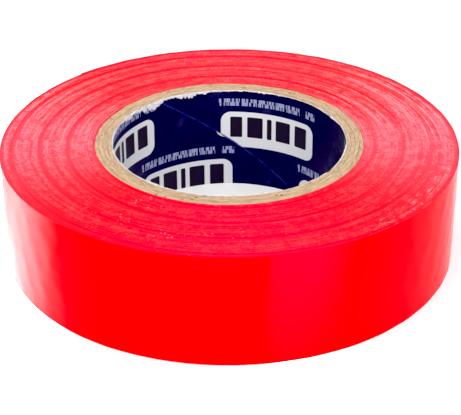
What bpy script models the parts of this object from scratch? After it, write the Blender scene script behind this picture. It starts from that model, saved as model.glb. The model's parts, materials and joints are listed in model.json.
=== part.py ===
"""A roll of PVC electrical tape, 19 mm wide and 20 m long, on a spiral-wound paper core.

Units are metres, with +Z up along the roll's axis. The roll lies on one of its two side faces,
which is at z = 0. Angles are measured about +Z from +X, anticlockwise seen from above.

The tape is wound anticlockwise, so its free end points that way. The last stretch of the tape is
a chain of short links, which lift off the roll one after the other as the end is peeled back.
"""

import math

import bmesh
import bpy
from mathutils import Vector

# The tape, as it is sold.
TAPE_WIDTH = 0.019
TAPE_LENGTH = 20.0
TAPE_THICKNESS = 0.00015

# The core: a printed paper liner inside kraft board plies.
CORE_INNER_RADIUS = 0.0196
CORE_OUTER_RADIUS = 0.0225
LINER_THICKNESS = 0.00012
PLY_COUNT = 4

# Clearance between layers that lie on each other.
LAYER_GAP = 0.00004

# Every layer of the core is a strip wound on a helix, so that its two edges meet at a seam which
# climbs the tube. The seam turns by SEAM_TWIST over the width of the roll.
SEAM_TWIST = math.radians(78)
SEAM_GAP = 0.0003
LINER_SEAM_ANGLE = math.radians(91)
SEAM_STAGGER = math.radians(97)

# The free end of the tape.
TIP_ANGLE = math.radians(135)
TAIL_ANGLE = math.radians(90)
TAIL_LINKS = 12
LINK_GAP = 0.0001

# Facets round the whole roll. A link covers a whole number of them.
COLUMNS = 144

COLUMN_ANGLE = 2 * math.pi / COLUMNS
LINK_COLUMNS = round(TAIL_ANGLE / COLUMN_ANGLE / TAIL_LINKS)

# The tape's volume fills the ring between the core and the mean outer radius.
WINDING_INNER_RADIUS = CORE_OUTER_RADIUS + LAYER_GAP
ROLL_RADIUS = math.sqrt(CORE_OUTER_RADIUS**2 + TAPE_LENGTH * TAPE_THICKNESS / math.pi)
TIP_RADIUS = ROLL_RADIUS + TAPE_THICKNESS / 2

PLY_THICKNESS = (
    CORE_OUTER_RADIUS - CORE_INNER_RADIUS - LINER_THICKNESS - PLY_COUNT * LAYER_GAP
) / PLY_COUNT

SHARP_ANGLE = math.radians(30)


def clear_scene():
    """Removes every object, so that only the roll is left."""
    for obj in list(bpy.data.objects):
        bpy.data.objects.remove(obj)


def make_material(name, colour, roughness):
    """A non-metallic Principled BSDF."""
    material = bpy.data.materials.new(name)
    material.use_nodes = True
    shader = material.node_tree.nodes["Principled BSDF"]
    shader.inputs["Base Color"].default_value = (*colour, 1.0)
    shader.inputs["Roughness"].default_value = roughness
    shader.inputs["Metallic"].default_value = 0.0
    return material


def make_object(name, mesh, material, origin, parent, parent_origin):
    """Turns a bmesh in world coordinates into an object whose own origin is at a given point."""
    bmesh.ops.translate(mesh, verts=mesh.verts, vec=-origin)
    bmesh.ops.recalc_face_normals(mesh, faces=mesh.faces)
    data = bpy.data.meshes.new(name)
    mesh.to_mesh(data)
    mesh.free()
    data.materials.append(material)
    data.shade_smooth()
    data.set_sharp_from_angle(angle=SHARP_ANGLE)
    obj = bpy.data.objects.new(name, data)
    bpy.context.scene.collection.objects.link(obj)
    obj.parent = parent
    obj.location = origin - parent_origin
    return obj


def polar(radius, angle, height):
    """The point at a radius, an angle and a height."""
    return Vector((radius * math.cos(angle), radius * math.sin(angle), height))


def tape_outer_radius(back):
    """The outer radius of the tape at an angle back from its free end, on the winding's spiral."""
    return TIP_RADIUS - TAPE_THICKNESS * back / (2 * math.pi)


def core_ply(name, material, root, inner_radius, thickness, seam_angle):
    """One strip wound once round the tube, with a slanted seam where its two edges meet.

    It is cut out as a flat sheet, thickened, and then rolled up. On the flat sheet x is the
    distance round the tube, y is the height and z is the depth from the inner surface.
    """
    outer_radius = inner_radius + thickness
    seam_lean = SEAM_TWIST * outer_radius
    turn = 2 * math.pi * outer_radius
    seam_foot = (seam_angle - SEAM_TWIST / 2) * outer_radius
    column = COLUMN_ANGLE * outer_radius

    mesh = bmesh.new()
    first_column = math.floor(seam_foot / column) - 1
    last_column = math.ceil((seam_foot + seam_lean) / column) + COLUMNS + 1
    low = [mesh.verts.new((i * column, 0, 0)) for i in range(first_column, last_column + 1)]
    high = [mesh.verts.new((v.co.x, TAPE_WIDTH, 0)) for v in low]
    for i in range(len(low) - 1):
        mesh.faces.new((low[i], low[i + 1], high[i + 1], high[i]))

    across_seam = Vector((TAPE_WIDTH, -seam_lean, 0)).normalized()
    for edge_x, side in ((seam_foot, -1), (seam_foot + turn, 1)):
        bmesh.ops.bisect_plane(
            mesh,
            geom=mesh.verts[:] + mesh.edges[:] + mesh.faces[:],
            plane_co=Vector((edge_x, 0, 0)) - side * across_seam * SEAM_GAP / 2,
            plane_no=side * across_seam,
            clear_outer=True,
        )

    made = bmesh.ops.extrude_face_region(mesh, geom=mesh.faces[:], use_keep_orig=True)
    raised = [item for item in made["geom"] if isinstance(item, bmesh.types.BMVert)]
    bmesh.ops.translate(mesh, verts=raised, vec=(0, 0, thickness))
    for vert in mesh.verts:
        along, height, depth = vert.co
        vert.co = polar(inner_radius + depth, along / outer_radius, height)
    return make_object(name, mesh, material, Vector(), root, Vector())


def core_layers(root, liner_material, board_material):
    """The liner, and the board plies round it, with their seams staggered."""
    core_ply(
        "core_liner", liner_material, root, CORE_INNER_RADIUS, LINER_THICKNESS, LINER_SEAM_ANGLE
    )
    inner_radius = CORE_INNER_RADIUS + LINER_THICKNESS + LAYER_GAP
    for number in range(1, PLY_COUNT + 1):
        seam_angle = LINER_SEAM_ANGLE + number * SEAM_STAGGER
        core_ply(
            f"core_ply_{number}", board_material, root, inner_radius, PLY_THICKNESS, seam_angle
        )
        inner_radius += PLY_THICKNESS + LAYER_GAP


def tape_winding(root, material):
    """All the tape that stays on the roll.

    Its outer surface follows the spiral for one turn, back from where the free end leaves it.
    There the surface steps down by one thickness of tape, to the layer under the free end.
    """
    mesh = bmesh.new()
    inner = {}
    outer = {}
    for height in (0, TAPE_WIDTH):
        for i in range(COLUMNS + 1):
            back = TAIL_ANGLE + i * COLUMN_ANGLE
            angle = TIP_ANGLE - back
            outer[i, height] = mesh.verts.new(polar(tape_outer_radius(back), angle, height))
            if i < COLUMNS:
                inner[i, height] = mesh.verts.new(polar(WINDING_INNER_RADIUS, angle, height))
        inner[COLUMNS, height] = inner[0, height]

        # The first sector's straight edge runs up the step, so it is a quad with a thin triangle.
        step_foot = outer[COLUMNS, height]
        mesh.faces.new((inner[0, height], inner[1, height], outer[1, height], step_foot))
        mesh.faces.new((step_foot, outer[1, height], outer[0, height]))
        for i in range(1, COLUMNS):
            mesh.faces.new(
                (inner[i, height], inner[i + 1, height], outer[i + 1, height], outer[i, height])
            )

    for ring in (inner, outer):
        for i in range(COLUMNS):
            mesh.faces.new(
                (ring[i, 0], ring[i + 1, 0], ring[i + 1, TAPE_WIDTH], ring[i, TAPE_WIDTH])
            )
    mesh.faces.new(
        (outer[0, 0], outer[COLUMNS, 0], outer[COLUMNS, TAPE_WIDTH], outer[0, TAPE_WIDTH])
    )
    return make_object("tape_winding", mesh, material, Vector(), root, Vector())


def hinge_point(link):
    """Where a link turns: half a gap past the link before it, on the tape's outer surface."""
    back = TAIL_ANGLE - link * LINK_COLUMNS * COLUMN_ANGLE
    radius = tape_outer_radius(back)
    lead = LINK_GAP / 2 if link == 0 else 0
    return polar(radius, TIP_ANGLE - back + lead / radius, TAPE_WIDTH / 2)


def tail_link(link, material, parent, parent_origin):
    """One short stretch of the free end, counted from 0 where it leaves the roll."""
    first_back = TAIL_ANGLE - link * LINK_COLUMNS * COLUMN_ANGLE
    backs = [first_back - i * COLUMN_ANGLE for i in range(LINK_COLUMNS + 1)]
    gap_angle = LINK_GAP / TIP_RADIUS
    backs[0] -= gap_angle if link == 0 else gap_angle / 2
    if link < TAIL_LINKS - 1:
        backs[-1] += gap_angle / 2

    mesh = bmesh.new()
    sections = []
    for back in backs:
        outer_radius = tape_outer_radius(back)
        inner_radius = outer_radius - TAPE_THICKNESS + LAYER_GAP
        corners = (
            (inner_radius, 0),
            (outer_radius, 0),
            (outer_radius, TAPE_WIDTH),
            (inner_radius, TAPE_WIDTH),
        )
        sections.append([mesh.verts.new(polar(r, TIP_ANGLE - back, z)) for r, z in corners])
    for here, there in zip(sections, sections[1:]):
        for i in range(4):
            mesh.faces.new((here[i - 1], here[i], there[i], there[i - 1]))
    mesh.faces.new(sections[0])
    mesh.faces.new(sections[-1])

    name = f"tape_tail_{link + 1:02d}"
    return make_object(name, mesh, material, hinge_point(link), parent, parent_origin)


def tape_tail(root, material):
    """The free end: a chain of links, each carried by the one before it."""
    parent = root
    parent_origin = Vector()
    for link in range(TAIL_LINKS):
        parent = tail_link(link, material, parent, parent_origin)
        parent_origin = hinge_point(link)


def main():
    clear_scene()
    root = bpy.data.objects.new("tape_roll", None)
    bpy.context.scene.collection.objects.link(root)
    liner_material = make_material("printed_liner", (0.010, 0.016, 0.085), 0.45)
    board_material = make_material("kraft_board", (0.62, 0.45, 0.28), 0.9)
    tape_material = make_material("red_pvc", (0.80, 0.012, 0.020), 0.25)
    core_layers(root, liner_material, board_material)
    tape_winding(root, tape_material)
    tape_tail(root, tape_material)


main()
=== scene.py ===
"""The looks of a roll of red electrical tape on a paper core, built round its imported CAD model.

Everything is in metres, +Z up, with the roll lying on the floor at z = 0. Angles are measured
about +Z from +X, anticlockwise seen from above. An angle "back" is measured along the tape, back
from its free end.
"""

import json
import math
from types import SimpleNamespace

import bpy
import numpy as np
from mathutils import Matrix, Vector


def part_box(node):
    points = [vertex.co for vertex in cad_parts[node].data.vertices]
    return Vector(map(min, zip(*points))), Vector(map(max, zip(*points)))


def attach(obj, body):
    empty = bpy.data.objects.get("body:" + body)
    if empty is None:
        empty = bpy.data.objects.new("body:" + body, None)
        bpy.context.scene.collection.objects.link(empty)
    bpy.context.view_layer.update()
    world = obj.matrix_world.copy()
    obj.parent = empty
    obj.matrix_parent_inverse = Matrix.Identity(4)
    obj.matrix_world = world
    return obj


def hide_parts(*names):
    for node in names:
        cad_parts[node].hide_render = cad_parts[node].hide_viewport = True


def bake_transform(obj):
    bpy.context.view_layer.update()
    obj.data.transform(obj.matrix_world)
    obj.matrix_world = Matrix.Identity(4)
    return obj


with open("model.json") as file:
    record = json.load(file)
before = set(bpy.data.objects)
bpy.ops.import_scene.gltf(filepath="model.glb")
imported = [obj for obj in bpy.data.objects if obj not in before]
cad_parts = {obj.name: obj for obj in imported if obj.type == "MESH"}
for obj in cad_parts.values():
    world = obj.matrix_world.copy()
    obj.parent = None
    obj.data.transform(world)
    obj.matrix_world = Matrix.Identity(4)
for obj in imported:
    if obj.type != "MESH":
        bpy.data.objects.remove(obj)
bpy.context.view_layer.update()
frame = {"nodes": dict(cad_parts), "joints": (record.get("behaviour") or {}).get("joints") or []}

random = np.random.default_rng(7)

MM = 0.001
FULL_TURN = 2 * math.pi

# --- The object's sizes, which follow the CAD model ----------------------------------------------

# The tape.
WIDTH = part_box("tape_winding")[1].z
TAPE_THICKNESS = 0.15 * MM
TIP_ANGLE = math.radians(135)
TAIL_ANGLE = math.radians(90)
TAIL_LINKS = sum(name.startswith("tape_tail_") for name in frame["nodes"])
LINK_ANGLE = TAIL_ANGLE / TAIL_LINKS
HINGES = [joint["pos_m"] for joint in frame["joints"]]
TIP_RADIUS = math.hypot(*HINGES[0][:2]) + TAPE_THICKNESS * TAIL_ANGLE / FULL_TURN
ROLL_RADIUS = TIP_RADIUS - TAPE_THICKNESS / 2

# The core: a printed liner inside kraft board plies, each with a seam that climbs the tube.
LINER_THICKNESS = 0.12 * MM
CORE_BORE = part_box("core_liner")[1].x - LINER_THICKNESS
CORE_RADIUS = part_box("core_ply_4")[1].x
PLIES = 4
SEAM_TWIST = math.radians(78)
LINER_SEAM_ANGLE = math.radians(91)
SEAM_STAGGER = math.radians(97)

# --- Details of the surfaces ---------------------------------------------------------------------

# The turns' cut edges. Their heights vary by these amounts: slowly along the tape, from turn to
# turn, at random, and where the slitting knife left a spiral mark.
TURN_COLUMNS = 216
EDGE_DRIFT = 0.006
EDGE_BANDS = 0.005
EDGE_WAVE = 0.004
KNIFE_DEPTH = 0.030
KNIFE_WIDTH = 0.20
KNIFE_START = 0.645 * ROLL_RADIUS
KNIFE_PITCH = 0.12 * ROLL_RADIUS

# Two scratches on the side face, each from an angle in degrees and a share of the roll's radius to
# another, with a width in millimetres.
SCRATCHES = (
    (314, 0.85, 341, 0.785, 0.22),
    (320, 0.80, 324, 0.69, 0.25),
)

# The film's outer side.
FILM_ROWS = 36
FILM_STEP = math.radians(1)
RELIEF_WAVE_COUNT = 26
RELIEF_STEEPNESS = 0.006
NICK_DEPTH = 0.03 * MM

# The very end of the tape stands off the roll by this much, over this angle.
TIP_LIFT = 0.15 * MM
TIP_LIFT_ANGLE = math.radians(11)

# The film is bruised pale for this far from where it was cut.
CUT_END_ANGLE = math.radians(0.5)

# Points round a ply of the core, and the slits left where its edges meet.
CORE_COLUMNS = 360
PLY_SEAM_GAP = 0.12 * MM
LINER_SEAM_GAP = 0.03 * MM
PLY_GAP = 0.004 * MM

# Where the liner's edge is torn: from one angle to another in degrees, how deep in millimetres,
# and how many columns its raggedness takes to change.
TORN_EDGES = (
    (58, 102, 0.45, 2.0),
    (97, 168, 1.45, 3.0),
    (162, 216, 1.05, 2.0),
    (336, 354, 0.45, 2.0),
    (18, 38, 0.25, 1.5),
)

# The liner's print: a plate that repeats along two slanted steps, with bars on it (left, right,
# low and high sides, in millimetres from its middle) and a line of strokes over it.
PLATE_ANGLE = math.radians(115)
PLATE_DROP = 17.4 * MM
PLATE_HALF_WIDTH = 9.2 * MM
PLATE_HALF_HEIGHT = 3.6 * MM
PLATE_CORNER = 1.9 * MM
PRINT_STEP = (math.radians(89.3) * CORE_BORE, -0.5 * MM)
PRINT_CLIMB = (15.3 * MM, 11.1 * MM)
BARS = ((-7.6, -4.9), (-4.0, -1.0), (-0.3, 0.7), (1.4, 4.4), (5.2, 7.5))
BAR_LOW = -1.6
BAR_HIGH = 2.6
LINE_RISE = 5.45 * MM
LINE_HALF_WIDTH = 9.5 * MM
LINE_HALF_HEIGHT = 0.75 * MM

# --- Camera and light ----------------------------------------------------------------------------

CAMERA_DISTANCE = 6.314 * ROLL_RADIUS
CAMERA_HEIGHT_ANGLE = math.radians(26.665)
CAMERA_PITCH = math.radians(29.384)
CAMERA_YAW = math.radians(-0.052)
CAMERA_ROLL = math.radians(-0.184)
CAMERA_LENS = 112.26

# The floor's glow, everywhere and in the two places that the wall mirrors as highlights.
FLOOR_SIZE = 3.0
FLOOR_GAP = 0.00002
FLOOR_GLOW = 0.35
LEFT_GLOW = 7.2
STREAK_GLOW = 15.0
# The share of the floor's glow kept inside the bore: painted shade under the core.
BORE_GLOW_SHARE = 0.8

# The room's brightness in front and overhead, behind, and low behind.
ROOM = 2.0
GLOOM = 0.04
BACKDROP = 1.6
LEFT_BOX = 4.0
RIGHT_BOX = 3.6

# Darker than this shows as black.
BLACK_LEVEL = (0.012, 0.018, 0.006)

# --- Meshes --------------------------------------------------------------------------------------


def make_mesh(name, points, faces, materials, face_slots=None, sharp=30):
    """A mesh object from arrays, smooth except where faces meet at more than the sharp angle."""
    mesh = bpy.data.meshes.new(name)
    mesh.from_pydata(np.asarray(points, float).tolist(), [], [tuple(f) for f in faces])
    mesh.update()
    volume = 0.0
    for polygon in mesh.polygons:
        volume += polygon.area * Vector(polygon.normal).dot(polygon.center)
    if volume < 0:
        mesh.flip_normals()
    for material in materials:
        mesh.materials.append(material)
    if face_slots is not None:
        mesh.polygons.foreach_set("material_index", np.asarray(face_slots, np.int32))
    mesh.shade_smooth()
    mesh.set_sharp_from_angle(angle=math.radians(sharp))
    obj = bpy.data.objects.new(name, mesh)
    bpy.context.scene.collection.objects.link(obj)
    return obj


def smooth_noise(count, width, closed=False):
    """Smooth random numbers along a line, with a spread of 1, that vary over a number of steps."""
    padding = 0 if closed else 4 * int(width) + 4
    values = random.standard_normal(count + 2 * padding)
    frequency = np.fft.rfftfreq(len(values))
    spectrum = np.fft.rfft(values) * np.exp(-2 * (math.pi * frequency * width) ** 2)
    smoothed = np.fft.irfft(spectrum, len(values))[padding : padding + count]
    return (smoothed - smoothed.mean()) / smoothed.std()


def smooth_sheet(rows, columns, row_width, column_width):
    """Smooth random numbers over a grid, with a spread of 1. It repeats along the columns."""
    values = random.standard_normal((rows, columns))
    row_frequency = np.fft.fftfreq(rows)[:, None]
    column_frequency = np.fft.rfftfreq(columns)[None, :]
    damping = (row_frequency * row_width) ** 2 + (column_frequency * column_width) ** 2
    spectrum = np.fft.rfft2(values) * np.exp(-2 * math.pi**2 * damping)
    smoothed = np.fft.irfft2(spectrum, (rows, columns))
    return (smoothed - smoothed.mean()) / smoothed.std()


def tape_radius(back):
    """The outer radius of the tape at an angle back from its free end."""
    return TIP_RADIUS - TAPE_THICKNESS * back / FULL_TURN


def ring_points(radius, angle, height):
    """Points from arrays of radii, angles and heights."""
    return np.column_stack([radius * np.cos(angle), radius * np.sin(angle), height])


def band_faces(columns, profile):
    """Faces of a band: each column of points is a closed loop of an even number of points, whose
    second half comes back along the first, so that the two ends are closed with quads."""
    faces = []
    for c in range(columns - 1):
        here = c * profile
        there = here + profile
        for p in range(profile):
            q = (p + 1) % profile
            faces.append((here + p, here + q, there + q, there + p))
    for start, flip in ((0, False), ((columns - 1) * profile, True)):
        last = start + profile - 1
        for p in range(profile // 2 - 1):
            quad = (start + p, last - p, last - p - 1, start + p + 1)
            faces.append(quad[::-1] if flip else quad)
    return faces


# --- Shader building blocks ----------------------------------------------------------------------


class Shader:
    """A node tree under construction: short names for the nodes that the materials share."""

    def __init__(self, name, owner=None):
        self.material = owner or bpy.data.materials.new(name)
        self.material.use_nodes = True
        self.tree = self.material.node_tree
        self.surface = self.tree.nodes.get("Principled BSDF")

    def node(self, kind, inputs=(), **settings):
        made = self.tree.nodes.new(kind)
        for key, value in settings.items():
            setattr(made, key, value)
        for key, value in dict(inputs).items():
            self.feed(made.inputs[key], value)
        return made

    def feed(self, socket, value):
        if isinstance(value, bpy.types.NodeSocket):
            self.tree.links.new(value, socket)
        else:
            socket.default_value = value

    def set(self, **values):
        """Feeds the surface's inputs, named with underscores for spaces."""
        for key, value in values.items():
            self.feed(self.surface.inputs[key.replace("_", " ")], value)

    def set_gloss(self, level, tint=(1.0, 1.0, 1.0)):
        """How strongly the surface mirrors head on, and in what colour. At a glance it is white."""
        self.surface.inputs["Specular IOR Level"].default_value = level
        self.surface.inputs["Specular Tint"].default_value = (*tint, 1.0)

    def math(self, operation, *values):
        made = self.tree.nodes.new("ShaderNodeMath")
        made.operation = operation
        for socket, value in zip(made.inputs, values):
            self.feed(socket, value)
        return made.outputs[0]

    def combine(self, operation, values):
        total = values[0]
        for value in values[1:]:
            total = self.math(operation, total, value)
        return total

    def add(self, *values):
        return self.combine("ADD", values)

    def times(self, *values):
        return self.combine("MULTIPLY", values)

    def highest(self, *values):
        return self.combine("MAXIMUM", values)

    def minus(self, a, b):
        return self.math("SUBTRACT", a, b)

    def absolute(self, value):
        return self.math("ABSOLUTE", value)

    def ramp(self, value, low, high, bottom=0.0, top=1.0):
        """Goes smoothly from bottom to top as value goes from low to high."""
        made = self.node(
            "ShaderNodeMapRange",
            {"Value": value, "From Min": low, "From Max": high, "To Min": bottom, "To Max": top},
            interpolation_type="SMOOTHSTEP",
        )
        return made.outputs["Result"]

    def length(self, x, y):
        return self.math("SQRT", self.add(self.times(x, x), self.times(y, y)))

    def point(self):
        """Object coordinates, in metres."""
        return self.tree.nodes.new("ShaderNodeTexCoord").outputs["Object"]

    def place(self):
        """Object coordinates, as one vector, as x, y and height, and as a radius and an angle."""
        point = self.point()
        x, y, height = self.node("ShaderNodeSeparateXYZ", {"Vector": point}).outputs
        return SimpleNamespace(
            point=point,
            x=x,
            y=y,
            height=height,
            radius=self.length(x, y),
            angle=self.math("ARCTAN2", y, x),
        )

    def vector(self, x, y, z):
        return self.node("ShaderNodeCombineXYZ", {"X": x, "Y": y, "Z": z}).outputs[0]

    def noise(self, vector, scale, detail=2.0, roughness=0.5):
        made = self.node(
            "ShaderNodeTexNoise",
            {"Vector": vector, "Scale": scale, "Detail": detail, "Roughness": roughness},
        )
        return made.outputs["Fac"]

    def specks(self, vector, scale, size):
        """1 inside small round specks, and 0 elsewhere. size is a share of their spacing."""
        made = self.node("ShaderNodeTexVoronoi", {"Vector": vector, "Scale": scale})
        return self.ramp(made.outputs["Distance"], size, size * 0.5)

    def mix(self, share, a, b):
        """A colour that goes from a to b."""
        made = self.node("ShaderNodeMix", data_type="RGBA")
        self.feed(made.inputs[0], share)
        for socket, value in ((made.inputs[6], a), (made.inputs[7], b)):
            self.feed(socket, value if isinstance(value, bpy.types.NodeSocket) else (*value, 1.0))
        return made.outputs[2]

    def bump(self, height, distance, normal=None):
        inputs = {"Height": height, "Distance": distance}
        if normal is not None:
            inputs["Normal"] = normal
        return self.node("ShaderNodeBump", inputs).outputs[0]


# --- Materials -----------------------------------------------------------------------------------


def film_material():
    """The glossy outer side of the PVC film: faint gauge bands along it, and a fine orange peel."""
    s = Shader("pvc_film")
    at = s.place()
    along = s.times(at.angle, ROLL_RADIUS)
    bands = s.noise(s.vector(s.times(along, 0.05), 0.0, at.height), 900, 3)
    cloud = s.noise(at.point, 160, 3)
    peel = s.noise(at.point, 2600, 2)
    ripple = s.noise(at.point, 420, 3, 0.6)
    clear_red = (0.86, 0.0003, 0.0002)
    deep_red = (0.78, 0.0002, 0.0001)
    s.set(Base_Color=s.mix(s.ramp(cloud, 0.35, 0.7), clear_red, deep_red))
    s.set(Roughness=s.ramp(s.add(cloud, s.times(bands, 0.5)), 0.5, 1.0, 0.10, 0.20))
    s.set_gloss(0.045, (1.0, 0.01, 0.5))
    s.set(Normal=s.bump(peel, 0.0015 * MM, s.bump(ripple, 0.02 * MM)))
    return s.material


def adhesive_material():
    """The sticky inner side: the same red seen through a dull rubber layer."""
    s = Shader("pvc_adhesive")
    blotch = s.noise(s.point(), 420, 4, 0.6)
    thin, thick = (0.55, 0.012, 0.016), (0.63, 0.022, 0.030)
    s.set(Base_Color=s.mix(s.ramp(blotch, 0.3, 0.75), thin, thick))
    s.set(Roughness=s.ramp(blotch, 0.3, 0.7, 0.38, 0.52))
    s.set(Normal=s.bump(blotch, 0.02 * MM))
    return s.material


def edge_material():
    """The cut edges of the turns, as the side face shows them: grainy rings, a spiral knife mark,
    rubbed paler patches, scratches, and dust, with painted shade towards -Y and along the outer
    rim, painted sheen towards +Y, and a painted highlight streaked along part of the rim."""
    s = Shader("pvc_cut_edges")
    at = s.place()
    turn = s.times(at.angle, 1 / FULL_TURN)
    fine = s.noise(s.vector(at.radius, s.times(turn, 0.004), 0.0), 4200, 2)
    wide = s.noise(s.vector(at.radius, s.times(turn, 0.006), 0.3), 1100, 3)
    grain = s.noise(at.point, 2300, 2, 0.7)
    rub = s.noise(at.point, 520, 4, 0.7)

    # Dark marks: the knife's spiral, which is fainter on one side, and the scratches. The outer rim
    # is darkened too: painted shade along the edge.
    lap = s.minus(s.times(s.minus(at.radius, KNIFE_START), 1 / KNIFE_PITCH), turn)
    off_knife = s.times(s.absolute(s.minus(lap, s.math("ROUND", lap))), KNIFE_PITCH)
    off_knife = s.add(off_knife, s.times(s.minus(grain, 0.5), 0.35 * MM))
    depth = s.times(s.ramp(rub, 0.30, 0.60, 0.25, 1.0), s.ramp(at.x, -0.01, 0.03, 1.0, 0.5))
    knife = s.times(s.ramp(off_knife, 0.65 * MM, 0.05 * MM), depth)
    # Painted shade along the outer rim.
    ragged_radius = s.add(at.radius, s.times(s.minus(rub, 0.5), 0.5 * MM))
    rim_shade = s.ramp(ragged_radius, 0.978 * ROLL_RADIUS, 0.992 * ROLL_RADIUS)
    marks_and_rim_shade = s.highest(knife, *scratches(s, at, grain), s.times(rim_shade, 0.9))

    # A pale veil, where the cut is rough. It is thinner towards -Y and thicker towards +Y: painted
    # shade at the front of the side face and painted sheen at its back.
    veil_and_painted_shade = s.add(
        s.times(fine, 0.32), s.times(wide, 0.42), s.times(grain, 0.50), s.times(rub, 0.56)
    )
    veil_and_painted_shade = s.minus(veil_and_painted_shade, s.times(marks_and_rim_shade, 0.30))
    # Painted shade towards -Y and painted sheen towards +Y.
    veil_and_painted_shade = s.minus(veil_and_painted_shade, s.ramp(at.y, 0.028, -0.028, -0.06, 0.09))
    colour = s.mix(s.ramp(veil_and_painted_shade, 0.76, 1.04), (0.86, 0.003, 0.001), (0.94, 0.034, 0.013))

    # Dust sits mostly in two places. Along the rim in one place, pale streaks are a painted
    # highlight.
    dust = s.times(s.specks(at.point, 1500, 0.26), s.ramp(s.noise(at.point, 330, 2), 0.50, 0.62))
    dusty = s.highest(patch(s, at, 255, 38, 0.84, 0.08), 0.16, patch(s, at, 236, 16, 0.66, 0.07))
    colour = s.mix(s.times(dust, dusty, 0.7), colour, (0.95, 0.50, 0.52))
    # A painted highlight along part of the rim, broken into streaks.
    streaks = s.ramp(s.noise(s.vector(at.radius, s.times(turn, 0.05), 0.7), 2200, 3), 0.50, 0.66)
    rim_highlight_streaks = s.times(streaks, s.ramp(s.noise(at.point, 700, 4, 0.7), 0.46, 0.60))
    rim_highlight_streaks = s.times(rim_highlight_streaks, patch(s, at, 322, 30, 0.955, 0.05), 0.45)
    s.set(Base_Color=s.mix(rim_highlight_streaks, colour, (0.95, 0.42, 0.46)))

    # The cut edges run round the roll, and spread what they mirror across them.
    s.set(Roughness=s.ramp(veil_and_painted_shade, 0.72, 1.06, 0.72, 0.26))
    s.set_gloss(0.7, (1.0, 0.15, 0.85))
    s.surface.inputs["Anisotropic"].default_value = 0.85
    s.surface.inputs["Anisotropic Rotation"].default_value = 0.25
    s.set(Tangent=s.node("ShaderNodeTangent", direction_type="RADIAL", axis="Z").outputs[0])
    relief = s.minus(s.add(s.times(grain, 0.5), rub), marks_and_rim_shade)
    s.set(Normal=s.bump(relief, 0.035 * MM, s.bump(fine, 0.014 * MM)))
    return s.material


def patch(s, at, centre, reach, middle, spread):
    """1 at a place on the side face, in degrees and shares of the roll's radius, and 0 beyond its
    reach and spread."""
    turn = s.math("WRAP", s.minus(at.angle, math.radians(centre)), math.pi, -math.pi)
    a = s.times(turn, 1 / math.radians(reach))
    b = s.times(s.minus(at.radius, middle * ROLL_RADIUS), 1 / (spread * ROLL_RADIUS))
    return s.ramp(s.add(s.times(a, a), s.times(b, b)), 1.0, 0.3)


def scratches(s, at, grain):
    """Dark scratches on the side face, each a soft line from one place to another."""
    found = []
    for start_angle, start_radius, end_angle, end_radius, width in SCRATCHES:
        start, end = (
            Vector((math.cos(math.radians(angle)), math.sin(math.radians(angle)))) * radius
            for angle, radius in (
                (start_angle, start_radius * ROLL_RADIUS),
                (end_angle, end_radius * ROLL_RADIUS),
            )
        )
        along = (end - start).normalized()
        length = (end - start).length
        dx, dy = s.minus(at.x, start.x), s.minus(at.y, start.y)
        far = s.add(s.times(dx, along.x), s.times(dy, along.y))
        off = s.absolute(s.minus(s.times(dx, along.y), s.times(dy, along.x)))
        off = s.add(off, s.times(s.minus(grain, 0.5), 0.3 * MM))
        inside = s.times(s.ramp(far, -0.5 * MM, 0.5 * MM), s.ramp(far, length, length - 2 * MM))
        found.append(s.times(inside, s.ramp(off, width * MM, width * 0.4 * MM)))
    return found


def kraft_material():
    """Unbleached board: a tan, fibrous cut edge with darker flecks."""
    s = Shader("kraft_board")
    at = s.place()
    along = s.times(at.angle, CORE_RADIUS, 0.5)
    across = s.times(at.radius, 3.0)
    fibre = s.noise(s.vector(across, along, s.times(at.height, 3.0)), 1400, 4, 0.65)
    cloud = s.noise(at.point, 220, 3)
    colour = s.mix(s.ramp(fibre, 0.30, 0.70), (0.40, 0.27, 0.145), (0.72, 0.52, 0.33))
    colour = s.mix(s.times(s.ramp(cloud, 0.4, 0.7), 0.5), colour, (0.62, 0.40, 0.26))
    fleck = s.times(s.specks(at.point, 800, 0.24), s.ramp(s.noise(at.point, 330, 1), 0.52, 0.60))
    s.set(Base_Color=s.mix(s.times(fleck, 0.8), colour, (0.12, 0.06, 0.03)))
    s.set(Roughness=s.ramp(fibre, 0.2, 0.8, 0.8, 0.98))
    s.set_gloss(0.3)
    s.set(Normal=s.bump(fibre, 0.08 * MM))
    return s.material


def torn_paper_material():
    """The white inside of the liner, where its edge is torn."""
    s = Shader("torn_paper")
    fibre = s.noise(s.point(), 1500, 4, 0.7)
    s.set(Base_Color=s.mix(s.ramp(fibre, 0.3, 0.7), (0.62, 0.58, 0.60), (0.85, 0.83, 0.84)))
    s.set(Roughness=s.ramp(fibre, 0.2, 0.8, 0.85, 0.98))
    s.set_gloss(0.3)
    s.set(Normal=s.bump(fibre, 0.06 * MM))
    return s.material


def rounded_box(s, x, y, half_width, half_height, corner, soft):
    """1 inside a rounded box, 0 outside it, with a soft edge."""
    dx = s.highest(s.minus(s.absolute(x), half_width - corner), 0.0)
    dy = s.highest(s.minus(s.absolute(y), half_height - corner), 0.0)
    return s.ramp(s.length(dx, dy), corner, corner - soft)


def cell(s, x, y, first, second):
    """The place of a point in the cell of a repeating pattern that is centred on it, where the
    pattern repeats along two slanted steps."""
    area = first[0] * second[1] - first[1] * second[0]
    a = s.minus(s.times(x, second[1] / area), s.times(y, second[0] / area))
    b = s.minus(s.times(y, first[0] / area), s.times(x, first[1] / area))
    a = s.minus(a, s.math("ROUND", a))
    b = s.minus(b, s.math("ROUND", b))
    local_x = s.add(s.times(a, first[0]), s.times(b, second[0]))
    local_y = s.add(s.times(a, first[1]), s.times(b, second[1]))
    return local_x, local_y


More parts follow.
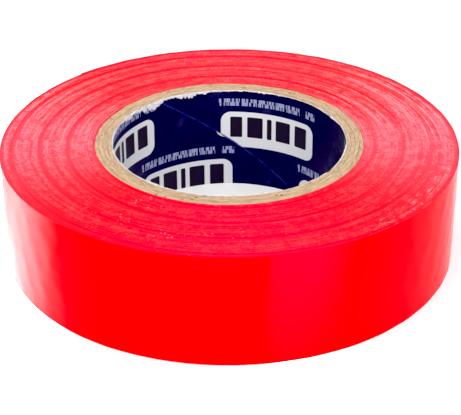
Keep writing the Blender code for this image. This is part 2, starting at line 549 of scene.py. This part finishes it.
def liner_material():
    """Dark blue printed paper. The print is plain: pale rounded plates with a few solid bars, and
    a line of irregular pale strokes over each."""
    s = Shader("liner_print")
    at = s.place()

    # Unroll the paper from its slanted seam.
    seam = s.add(s.times(at.height, SEAM_TWIST / WIDTH), LINER_SEAM_ANGLE - SEAM_TWIST / 2)
    past_seam = s.math("WRAP", s.minus(at.angle, seam), FULL_TURN, 0.0)
    along = s.times(s.add(past_seam, seam), CORE_BORE)
    x0 = s.minus(along, PLATE_ANGLE * CORE_BORE)
    y0 = s.minus(at.height, WIDTH - PLATE_DROP)

    x, y = cell(s, x0, y0, PRINT_STEP, PRINT_CLIMB)
    plate = rounded_box(
        s, x, y, PLATE_HALF_WIDTH, PLATE_HALF_HEIGHT, PLATE_CORNER, 0.12 * MM
    )
    bars = s.highest(
        *(
            rounded_box(
                s,
                s.minus(x, (left + right) / 2 * MM),
                s.minus(y, (BAR_LOW + BAR_HIGH) / 2 * MM),
                (right - left) / 2 * MM,
                (BAR_HIGH - BAR_LOW) / 2 * MM,
                0.3 * MM,
                0.1 * MM,
            )
            for left, right in BARS
        )
    )

    x, y = cell(s, x0, s.minus(y0, LINE_RISE), PRINT_STEP, PRINT_CLIMB)
    line = rounded_box(s, x, y, LINE_HALF_WIDTH, LINE_HALF_HEIGHT, 0.1 * MM, 0.08 * MM)
    upper = s.math("GREATER_THAN", y, 0.0)
    strokes = s.noise(s.vector(s.times(x, 1.5), s.times(upper, 0.004), 0.0), 1250, 1)
    spaces = s.noise(s.vector(x, 0.02, 0.0), 260, 0)
    line = s.times(line, s.ramp(strokes, 0.46, 0.50), s.ramp(spaces, 0.34, 0.38))

    edge = s.math("MINIMUM", past_seam, s.minus(FULL_TURN, past_seam))
    seam_line = s.ramp(s.times(edge, CORE_BORE), 0.50 * MM, 0.10 * MM)
    grain = s.noise(at.point, 700, 4, 0.6)
    seam_line = s.times(seam_line, s.ramp(grain, 0.35, 0.6, 0.1, 0.9))
    scuff = s.times(s.ramp(s.noise(at.point, 300, 5, 0.7), 0.52, 0.75), 0.22)

    colour = s.mix(s.ramp(grain, 0.3, 0.7), (0.0008, 0.0014, 0.034), (0.0020, 0.0030, 0.052))
    colour = s.mix(scuff, colour, (0.10, 0.12, 0.30))
    colour = s.mix(s.times(line, 0.75), colour, (0.42, 0.46, 0.72))
    colour = s.mix(s.times(plate, 0.97), colour, (0.80, 0.80, 0.82))
    colour = s.mix(s.times(plate, bars, 0.98), colour, (0.004, 0.004, 0.004))
    colour = s.mix(seam_line, colour, (0.018, 0.040, 0.21))
    s.set(Base_Color=colour)
    s.set(Roughness=s.ramp(grain, 0.3, 0.8, 0.36, 0.52))
    s.set_gloss(0.25, (0.3, 0.3, 0.7))
    s.set(Normal=s.bump(grain, 0.015 * MM))
    return s.material


# --- The tape ------------------------------------------------------------------------------------


def cut_edge_heights(steps, inside, angle):
    """How far each turn's cut edge stands above the mean, along the whole spiral, in metres."""
    index = np.arange(steps + 1)
    rows = steps // TURN_COLUMNS + 2
    row, column = index // TURN_COLUMNS, index % TURN_COLUMNS
    drift = smooth_noise(steps + 1, TURN_COLUMNS / 10) * EDGE_DRIFT
    bands = smooth_noise(rows, 2.2)[row] * EDGE_BANDS
    wave = smooth_sheet(rows, TURN_COLUMNS, 1.0, 0.8)[row, column] * EDGE_WAVE
    laps = (inside - KNIFE_START) / KNIFE_PITCH - angle / FULL_TURN
    off_knife = np.abs(laps - np.round(laps)) * KNIFE_PITCH / MM
    knife = -KNIFE_DEPTH * np.exp(-((off_knife / KNIFE_WIDTH) ** 2))
    return (drift + bands + wave + knife) * MM


def winding_turns(edges, film):
    """All the turns under the outermost one, as one spiral. Each turn's cut edge has its own
    height, so that the side faces show the turns as fine real steps, with a valley between each
    turn and the next one out."""
    inner_radius = CORE_RADIUS + 0.04 * MM
    last_back = TAIL_ANGLE + FULL_TURN
    outer_radius = tape_radius(last_back) - 0.01 * MM
    steps = int((outer_radius - inner_radius) / TAPE_THICKNESS * TURN_COLUMNS)
    index = np.arange(steps + 1)
    angle = TIP_ANGLE - last_back + (index - steps) * FULL_TURN / TURN_COLUMNS
    inside = outer_radius - TAPE_THICKNESS - (steps - index) * TAPE_THICKNESS / TURN_COLUMNS

    above = cut_edge_heights(steps, inside, angle)
    below = cut_edge_heights(steps, inside, angle)
    top = WIDTH + above - above.max() * 0.5
    bottom = below.max() - below

    # Four lines of points run along the spiral: the inner and outer edge of its top and bottom.
    lines = [(height, share) for height in (top, bottom) for share in (0.1, 0.9)]
    points = [ring_points(inside + share * TAPE_THICKNESS, angle, z) for z, share in lines]
    top_in, top_out, low_in, low_out = (i * (steps + 1) for i in range(4))

    faces = []
    for inner, outer, order in ((top_in, top_out, 1), (low_in, low_out, -1)):
        k = np.arange(steps)
        strip = np.column_stack([inner + k, outer + k, outer + k + 1, inner + k + 1])
        k = np.arange(steps - TURN_COLUMNS)
        after = inner + k + TURN_COLUMNS
        valley = np.column_stack([outer + k, after, after + 1, outer + k + 1])
        faces.append(np.vstack([strip, valley])[:, ::order])
    side_faces = sum(map(len, faces))

    # The walls of the innermost and outermost turns, and the spiral's two ends.
    k = np.arange(TURN_COLUMNS)
    faces.append(np.column_stack([low_in + k, top_in + k, top_in + k + 1, low_in + k + 1]))
    k = np.arange(steps - TURN_COLUMNS, steps)
    faces.append(np.column_stack([top_out + k, low_out + k, low_out + k + 1, top_out + k + 1]))
    end, before = steps, steps - TURN_COLUMNS
    faces.append(
        np.array(
            [
                (top_in, low_in, low_out, top_out),
                (top_out, low_out, low_in + TURN_COLUMNS, top_in + TURN_COLUMNS),
                (top_out + end, low_out + end, low_in + end, top_in + end),
                (top_in + end, low_in + end, low_out + before, top_out + before),
            ]
        )
    )
    faces = np.vstack(faces)
    slots = (np.arange(len(faces)) >= side_faces).astype(int)
    return make_mesh("tape_turns", np.vstack(points), faces, [edges, film], slots, sharp=35)


def relief_waves():
    """Waves of random direction and phase, that together make the film's relief."""
    waves = []
    for _ in range(RELIEF_WAVE_COUNT):
        length = random.uniform(2.2, 7.0) / FULL_TURN
        lean = random.uniform(0, math.pi)
        along = length / max(abs(math.cos(lean)), 0.15) * math.copysign(1, math.cos(lean))
        across = length / max(math.sin(lean), 0.3)
        phase = random.uniform(0, FULL_TURN)
        waves.append((RELIEF_STEEPNESS * length, along, across, phase))
    return waves


def film_relief(waves, back, height):
    """How far the film's outer side stands proud of a true spiral, in metres: long gauge bands
    along the tape, and shallow puckers where air was wound in."""
    along = back * ROLL_RADIUS / MM
    z = height / MM
    return sum(
        amplitude * np.sin(along / wave_along + z / wave_across + phase)
        for amplitude, wave_along, wave_across, phase in waves
    ) * MM


def tape_strip(name, backs, waves, film, adhesive, edges):
    """A stretch of tape with both its sides and its two cut edges, as one closed solid."""
    nick = NICK_DEPTH * np.sin(backs * 31) * np.sin(backs * 13.3 + 1) ** 2
    points = []
    for back, high in zip(backs, nick):
        heights = np.linspace(0, 1, FILM_ROWS) * WIDTH
        heights[-1] += high
        proud = TIP_LIFT * max(0.0, 1 - back / TIP_LIFT_ANGLE) ** 2
        outer = tape_radius(back) + proud + film_relief(waves, back, heights)
        inner = np.full(FILM_ROWS, tape_radius(back) - TAPE_THICKNESS + 0.02 * MM + proud)
        radius = np.concatenate([outer, inner[::-1]])
        points.append(
            ring_points(radius, TIP_ANGLE - back, np.concatenate([heights, heights[::-1]]))
        )
    faces = band_faces(len(backs), 2 * FILM_ROWS)
    slots = []
    for back in backs[1:]:
        outside = 2 if back < CUT_END_ANGLE * 0.9 else 0
        slots += [outside] * (FILM_ROWS - 1) + [2] + [1] * (FILM_ROWS - 1) + [2]
    slots += [2] * (2 * (FILM_ROWS - 1))
    return make_mesh(name, np.vstack(points), faces, [film, adhesive, edges], slots, sharp=40)


def fine_columns(start, end, step):
    """Angles from start to end in even steps, with a very narrow step at each end, so that the
    shading at a joint between two strips follows the true curve."""
    count = max(2, round(abs(end - start) / step))
    inner = np.linspace(start, end, count + 1)
    nudge = (end - start) / count * 0.02
    return np.concatenate([[start], [start + nudge], inner[1:-1], [end - nudge], [end]])


def build_tape():
    film, adhesive, edges = film_material(), adhesive_material(), edge_material()
    waves = relief_waves()
    turns = winding_turns(edges, film)
    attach(turns, "roll")
    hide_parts("tape_winding")

    columns = fine_columns(TAIL_ANGLE + FULL_TURN, TAIL_ANGLE, FILM_STEP)
    outer = tape_strip("tape_outer_turn", columns, waves, film, adhesive, edges)
    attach(outer, "roll")

    # Each stretch of the free end reaches from halfway along one link to halfway along the next,
    # across the hinge between them. The first starts at its hinge.
    for link in range(TAIL_LINKS):
        hinge_back = TAIL_ANGLE - link * LINK_ANGLE
        first = hinge_back + (LINK_ANGLE / 2 if link else 0)
        if link < TAIL_LINKS - 1:
            columns = fine_columns(first, hinge_back - LINK_ANGLE / 2, FILM_STEP * 0.9)
        else:
            columns = fine_columns(first, 0.0, FILM_STEP * 0.9)[:-2]
            columns = np.concatenate([columns, [CUT_END_ANGLE, CUT_END_ANGLE / 2, 0.0]])
        name = f"tape_end_{link + 1:02d}"
        piece = tape_strip(name, columns, waves, film, adhesive, edges)

        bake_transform(piece)
        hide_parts(f"tape_tail_{link + 1:02d}")


# --- The core ------------------------------------------------------------------------------------


def core_band(name, inner, outer, seam_angle, seam_gap, top, bottom, materials, slots, rows):
    """One ply of the core, wound once round, with a slanted seam. top and bottom are the heights
    of its two edges at even steps round the ply."""
    gap = seam_gap / outer
    round_over = 0.03 * (outer - inner)
    r_in = np.full(rows, inner)
    r_out = np.full(rows, outer)
    r_in[[0, -1]] += round_over
    r_out[[0, -1]] -= round_over
    radius = np.concatenate([r_out, r_in[::-1]])
    points = []
    for share, high, low in zip(np.linspace(0, 1, CORE_COLUMNS + 1), top, bottom):
        z = np.linspace(low, high, rows)
        foot = seam_angle - SEAM_TWIST / 2
        angle = foot + SEAM_TWIST * z / WIDTH + gap / 2 + share * (FULL_TURN - gap)
        both_angles = np.concatenate([angle, angle[::-1]])
        points.append(ring_points(radius, both_angles, np.concatenate([z, z[::-1]])))
    faces = band_faces(CORE_COLUMNS + 1, 2 * rows)
    return make_mesh(name, np.vstack(points), faces, materials, slots, sharp=50)


def torn_fringe(name, first, last, deepest, width, material):
    """A ragged lip of white paper where the liner's edge has been torn: it hangs a little way down
    the bore, and stands a little way up past the rim."""
    columns = (last - first) * 3
    angle = np.radians(np.linspace(first, last, columns + 1))
    taper = np.sin(np.linspace(0, math.pi, columns + 1)) ** 0.5
    ragged = smooth_noise(columns + 1, width * 1.5) * 0.22
    ragged = ragged + smooth_noise(columns + 1, width * 0.4) * 0.14
    drop = np.maximum(np.clip(0.45 + ragged, 0.05, 1.1) * taper * deepest, 0.04)
    rise = np.clip(0.05 + 0.05 * smooth_noise(columns + 1, width * 0.5), 0.0, 0.2) * taper
    curl = 0.06 + 0.05 * np.abs(smooth_noise(columns + 1, width))
    rows = 6
    share = np.linspace(0, 1, rows)
    fluff = random.standard_normal((columns + 1, rows)) * 0.012
    points = []
    for c, a in enumerate(angle):
        z = WIDTH / MM - drop[c] + (drop[c] + rise[c]) * share
        off = 0.03 + curl[c] * (0.4 + np.sin(share * math.pi) * 0.6) * taper[c] + np.abs(fluff[c])
        r_in = CORE_BORE / MM - off
        r_out = np.maximum(r_in + 0.03, CORE_BORE / MM - 0.015)
        radius = np.concatenate([r_out, r_in[::-1]])
        points.append(ring_points(radius, a, np.concatenate([z, z[::-1]])) * MM)
    faces = band_faces(columns + 1, 2 * rows)
    return make_mesh(name, np.vstack(points), faces, [material], sharp=60)


def build_core():
    kraft, torn, printed = kraft_material(), torn_paper_material(), liner_material()
    edge_points = CORE_COLUMNS + 1
    ply = (CORE_RADIUS - CORE_BORE - LINER_THICKNESS) / PLIES
    inner = CORE_BORE + LINER_THICKNESS

    # The slitting knife's waviness is shared by all plies, and each has its own fray.
    shared = smooth_noise(edge_points, 14, True) * 0.04
    for number in range(1, PLIES + 1):
        fray = shared + smooth_noise(edge_points, 1.5, True) * 0.018
        low_fray = np.abs(smooth_noise(edge_points, 4, True)) * 0.02
        piece = core_band(
            f"kraft_ply_{number}",
            inner + PLY_GAP,
            inner + ply,
            LINER_SEAM_ANGLE + number * SEAM_STAGGER,
            PLY_SEAM_GAP,
            WIDTH + (fray - 0.08) * MM,
            low_fray * MM,
            [kraft],
            None,
            rows=14,
        )
        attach(piece, "roll")
        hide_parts(f"core_ply_{number}")
        inner += ply

    # The liner is printed on its inner side. Its outer side and its edges are bare paper.
    rows = 30
    fray = smooth_noise(edge_points, 1.2, True) * 0.05 + smooth_noise(edge_points, 5, True) * 0.06
    slots = ([1] * rows + [0] * (rows - 1) + [1]) * CORE_COLUMNS + [0] * (2 * (rows - 1))
    liner = core_band(
        "liner_paper",
        CORE_BORE,
        CORE_BORE + LINER_THICKNESS,
        LINER_SEAM_ANGLE,
        LINER_SEAM_GAP,
        WIDTH + (fray - 0.02) * MM,
        np.abs(fray) * 0.3 * MM,
        [printed, torn],
        slots,
        rows=rows,
    )
    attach(liner, "roll")
    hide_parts("core_liner")

    for number, tear in enumerate(TORN_EDGES, 1):
        fringe = torn_fringe(f"liner_torn_edge_{number}", *tear, torn)
        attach(fringe, "roll")


# --- Floor, light and camera ---------------------------------------------------------------------


def build_camera():
    data = bpy.data.cameras.new("camera")
    data.lens = CAMERA_LENS
    data.sensor_width = 36.0
    data.clip_start = 0.01
    camera = bpy.data.objects.new("camera", data)
    turn = Matrix.Rotation(CAMERA_YAW, 4, "Z")
    turn = turn @ Matrix.Rotation(math.pi / 2 - CAMERA_PITCH, 4, "X")
    turn = turn @ Matrix.Rotation(CAMERA_ROLL, 4, "Z")
    camera.matrix_world = turn
    camera.location = (
        0.0,
        -CAMERA_DISTANCE * math.cos(CAMERA_HEIGHT_ANGLE),
        WIDTH + CAMERA_DISTANCE * math.sin(CAMERA_HEIGHT_ANGLE),
    )
    bpy.context.scene.collection.objects.link(camera)
    bpy.context.scene.camera = camera


def past_mirror_line(s, at, degrees):
    """How far a point on the floor is, in mm, past the line that the wall mirrors at an angle
    towards a viewer in front. It grows to the right in front of the roll, and to the back at
    either side of it."""
    angle = math.radians(degrees)
    foot = (ROLL_RADIUS * math.cos(angle), ROLL_RADIUS * math.sin(angle))
    away = 2 * angle + math.pi / 2
    side = 1 if degrees > 270 else -1
    across_x, across_y = -side * math.sin(away), side * math.cos(away)
    offset = across_x * foot[0] + across_y * foot[1]
    distance = s.minus(s.add(s.times(at.x, across_x), s.times(at.y, across_y)), offset)
    return s.times(distance, 1 / MM)


def build_floor():
    """A white floor lit from below, as a light table is, so that nothing casts a shadow on it. It
    is brighter at the left and in front, which is what the roll's glossy wall mirrors, and dimmer
    inside the bore, which is painted shade under the core."""
    s = Shader("light_table")
    at = s.place()
    near = s.ramp(at.radius, 0.11, 0.07)
    left = s.times(
        s.ramp(at.x, -0.018, -0.026),
        s.ramp(past_mirror_line(s, at, 219), -6, 4),
        s.ramp(past_mirror_line(s, at, 203), 10, -8, 0.16, 1.0),
        s.ramp(past_mirror_line(s, at, 184), 14, 2),
    )
    streak = s.times(
        s.ramp(at.y, -0.020, -0.030),
        s.ramp(past_mirror_line(s, at, 279), -2, 3),
        s.ramp(past_mirror_line(s, at, 301), 0, -16),
        s.ramp(at.radius, 0.040, 0.078, 0.3, 1.0),
    )
    pools = s.add(s.times(LEFT_GLOW, left), s.times(STREAK_GLOW, streak))
    glow = s.add(FLOOR_GLOW, s.times(pools, near))
    # The floor glows less inside the bore: painted shade under the core.
    bore_painted_shade = s.ramp(at.radius, CORE_BORE * 1.1, CORE_BORE * 0.9, 1.0, BORE_GLOW_SHARE)
    s.set(Base_Color=s.mix(s.noise(at.point, 40), (0.70, 0.70, 0.70), (0.73, 0.73, 0.73)))
    s.set(Emission_Strength=s.times(glow, bore_painted_shade))
    s.set_gloss(0.1)
    s.surface.inputs["Roughness"].default_value = 0.9
    s.surface.inputs["Emission Color"].default_value = (1, 1, 1, 1)

    mesh = bpy.data.meshes.new("floor")
    corners = [(-1, -1, 0), (1, -1, 0), (1, 1, 0), (-1, 1, 0)]
    mesh.from_pydata([Vector(corner) * FLOOR_SIZE for corner in corners], [], [(0, 1, 2, 3)])
    mesh.materials.append(s.material)
    floor = bpy.data.objects.new("floor", mesh)
    floor.location.z = -FLOOR_GAP
    bpy.context.scene.collection.objects.link(floor)


def build_light():
    """A soft white room: bright in front and overhead and dark behind, where two wide soft boxes
    stand low on either side of a dim backdrop."""
    world = bpy.data.worlds.new("studio")
    bpy.context.scene.world = world
    s = Shader("studio", world)
    ray = s.tree.nodes.new("ShaderNodeTexCoord").outputs["Generated"]
    x, y, z = s.node("ShaderNodeSeparateXYZ", {"Vector": ray}).outputs
    rise = s.times(s.math("ARCSINE", z), 180 / math.pi)
    turn = s.times(s.math("ARCTAN2", x, y), 180 / math.pi)
    dark = s.times(s.ramp(s.absolute(turn), 120, 90), s.ramp(rise, 75, 60))
    low = s.times(s.ramp(rise, 0, 4), s.ramp(rise, 31, 21))
    left = s.times(low, s.ramp(turn, -8, -14), s.ramp(turn, -50, -35))
    right = s.times(low, s.ramp(turn, 5, 12), s.ramp(turn, 60, 45))
    middle = s.times(s.ramp(s.absolute(turn), 60, 40), s.ramp(rise, 27, 22))
    strength = s.add(
        ROOM,
        s.times(GLOOM - ROOM, dark),
        s.times(BACKDROP, middle),
        s.times(LEFT_BOX, left),
        s.times(RIGHT_BOX, right),
    )
    background = s.tree.nodes["Background"]
    background.inputs["Color"].default_value = (1, 1, 1, 1)
    s.feed(background.inputs["Strength"], strength)


def set_view():
    """Plain colours, with the deepest shadows at black."""
    view = bpy.context.scene.view_settings
    view.view_transform = "Standard"
    view.look = "None"
    view.use_curve_mapping = True
    view.curve_mapping.black_level = BLACK_LEVEL
    view.curve_mapping.update()


build_camera()
build_light()
set_view()
build_floor()
build_tape()
build_core()
